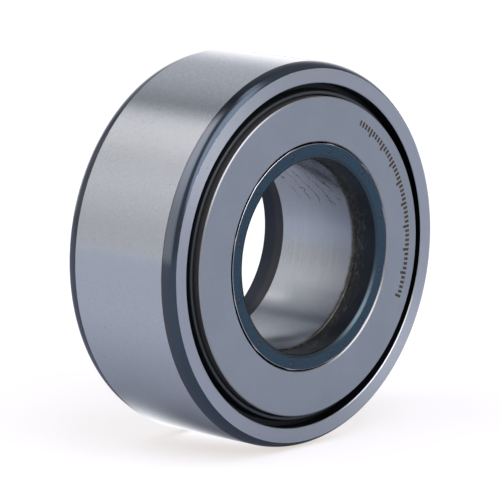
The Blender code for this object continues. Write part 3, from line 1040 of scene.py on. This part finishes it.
def make_cage():
    """Carries the CAD cage's windows and only takes a better material."""
    cage = frame["nodes"]["needle_cage"]
    material = cage_material()
    for slot in cage.material_slots:
        slot.material = material


# ---------------------------------------------------------------- studio


def wall_tone(level, coolness):
    """A grey between the neutral and the cool tint."""
    return tuple(level * (plain + (cool - plain) * coolness) for plain, cool in zip(NEUTRAL_TINT, COOL_TINT))


def lamp_disc(n, direction, aim, angles):
    """0 past the first angle from an aim and 1 within the second one, in degrees."""
    towards = n.add("ShaderNodeVectorMath", {0: direction, 1: Vector(aim).normalized()}, output=1,
                    operation="DOT_PRODUCT")
    return n.step(towards, *(math.cos(math.radians(angle)) for angle in angles))


def left_softbox(n, walls, x, y, z, turn):
    front = n.step(n.minus(y, n.times(x, LEFT_SOFTBOX_SLANT)), *LEFT_SOFTBOX_FRONT)
    box = n.times(n.times(front, n.step(y, *LEFT_SOFTBOX_REAR)), n.step(turn, *LEFT_SOFTBOX_TURN))
    box = n.times(box, n.step(x, *LEFT_SOFTBOX_RIGHT))
    low, high = (rgba(grey(level, SOFTBOX_TINT)) for level in (LEFT_SOFTBOX_LOW, LEFT_SOFTBOX_HIGH))
    return n.mix(box, walls, n.mix(n.step(z, *LEFT_SOFTBOX_RISE), low, high))


def front_softbox(n, walls, direction, x):
    box = n.times(lamp_disc(n, direction, FRONT_SOFTBOX_AIM, FRONT_SOFTBOX_ANGLES),
                  n.step(x, *FRONT_SOFTBOX_RIGHT))
    lamp = lamp_disc(n, direction, FRONT_LAMP_AIM, FRONT_LAMP_ANGLES)
    tone = n.mix(lamp, rgba(grey(FRONT_SOFTBOX, WALL_TINT)), rgba(grey(FRONT_LAMP, WALL_TINT)))
    return n.mix(box, walls, tone)


def build_world():
    """The studio's walls: tones that run round the roller's axis behind it, two softboxes and two lamps."""
    world = bpy.data.worlds.new("studio")
    bpy.context.scene.world = world
    world.use_nodes = True
    n = Nodes(world.node_tree)
    direction = n.add("ShaderNodeTexCoord", {}, output="Generated")
    x, y, z = n.split(direction)
    turn = n.math("FRACT", n.plus(n.over(n.math("ARCTAN2", z, x), math.tau), 1.0))
    rear = n.ramp(turn, [(degrees / 360.0, wall_tone(*tone)) for degrees, *tone in REAR_WALL])
    rear = n.mix(n.step(y, *REAR_DIM_BORDER), rear, n.mix(REAR_DIM, rear, rgba(grey(0.0))))
    walls = n.mix(n.step(y, *REAR_BEGINS), rgba(grey(FRONT_WALL, WALL_TINT)), rear)
    walls = left_softbox(n, walls, x, y, z, turn)
    walls = front_softbox(n, walls, direction, x)
    top_lamp = lamp_disc(n, direction, TOP_LAMP_AIM, TOP_LAMP_ANGLES)
    walls = n.mix(top_lamp, walls, rgba(grey(TOP_LAMP, WALL_TINT)))

    seen = n.add("ShaderNodeLightPath", {}, output="Is Camera Ray")
    color = n.mix(seen, walls, rgba(grey(1.0)))
    n.plug(world.node_tree.nodes["Background"].inputs["Color"], color)


def floor_material():
    """Pale and plain. Only the steel sees the glow under the roller's rear half."""
    material = bpy.data.materials.new("floor_pale")
    material.use_nodes = True
    n = Nodes(material.node_tree)
    x, y, _ = n.split(n.object_place())
    across = n.plus(x, n.times(y, GLOW_SLANT))
    glow = n.times(n.step(across, *GLOW_LEFT), n.between(y, *GLOW_FRONT_REAR_SOFT))
    glow = n.times(n.times(glow, n.step(x, *GLOW_RIGHT)), FLOOR_GLOW)
    glow = n.plus(glow, n.times(n.step(x, *FAR_GLOW_REACH), FLOOR_FAR_GLOW))
    seen = n.add("ShaderNodeLightPath", {}, output="Is Camera Ray")
    shader = material.node_tree.nodes["Principled BSDF"]
    n.plug(shader.inputs["Base Color"], rgba(FLOOR_GREY))
    n.plug(shader.inputs["Roughness"], 1.0)
    n.plug(shader.inputs["Specular IOR Level"], 0.0)
    n.plug(shader.inputs["Emission Color"], n.mix(seen, n.vector(glow, glow, glow), rgba(FLOOR_LIFT)))
    n.plug(shader.inputs["Emission Strength"], 1.0)
    return material


def make_floor():
    level = -OUTER_RADIUS * MM - FLOOR_GAP
    corners = [(-1, -1), (1, -1), (1, 1), (-1, 1)]
    mesh = bpy.data.meshes.new("floor")
    mesh.from_pydata([(x * FLOOR_SIZE, y * FLOOR_SIZE, level) for x, y in corners], [], [(0, 1, 2, 3)])
    mesh.materials.append(floor_material())
    floor = bpy.data.objects.new("floor", mesh)
    bpy.context.scene.collection.objects.link(floor)


def make_camera():
    a, e = CAMERA_AZIMUTH, CAMERA_ELEVATION
    back = Vector((math.sin(a) * math.cos(e), -math.cos(a) * math.cos(e), math.sin(e)))
    right = Vector((math.cos(a), math.sin(a), 0.0))
    up = back.cross(right)
    camera = bpy.data.objects.new("camera", bpy.data.cameras.new("camera"))
    camera.data.lens = CAMERA_LENS
    camera.data.clip_start = CAMERA_NEAR
    camera.location = back * CAMERA_DISTANCE - right * OFFSET_RIGHT - up * OFFSET_UP
    camera.rotation_mode = "QUATERNION"
    camera.rotation_quaternion = (-back).to_track_quat("-Z", "Y")
    bpy.context.scene.collection.objects.link(camera)
    bpy.context.scene.camera = camera


make_camera()
build_world()
make_floor()
make_outer_ring()
make_washers()
make_seals()
make_inner_ring()
make_needles()
make_cage()
bpy.context.scene.view_settings.view_transform = "Standard"
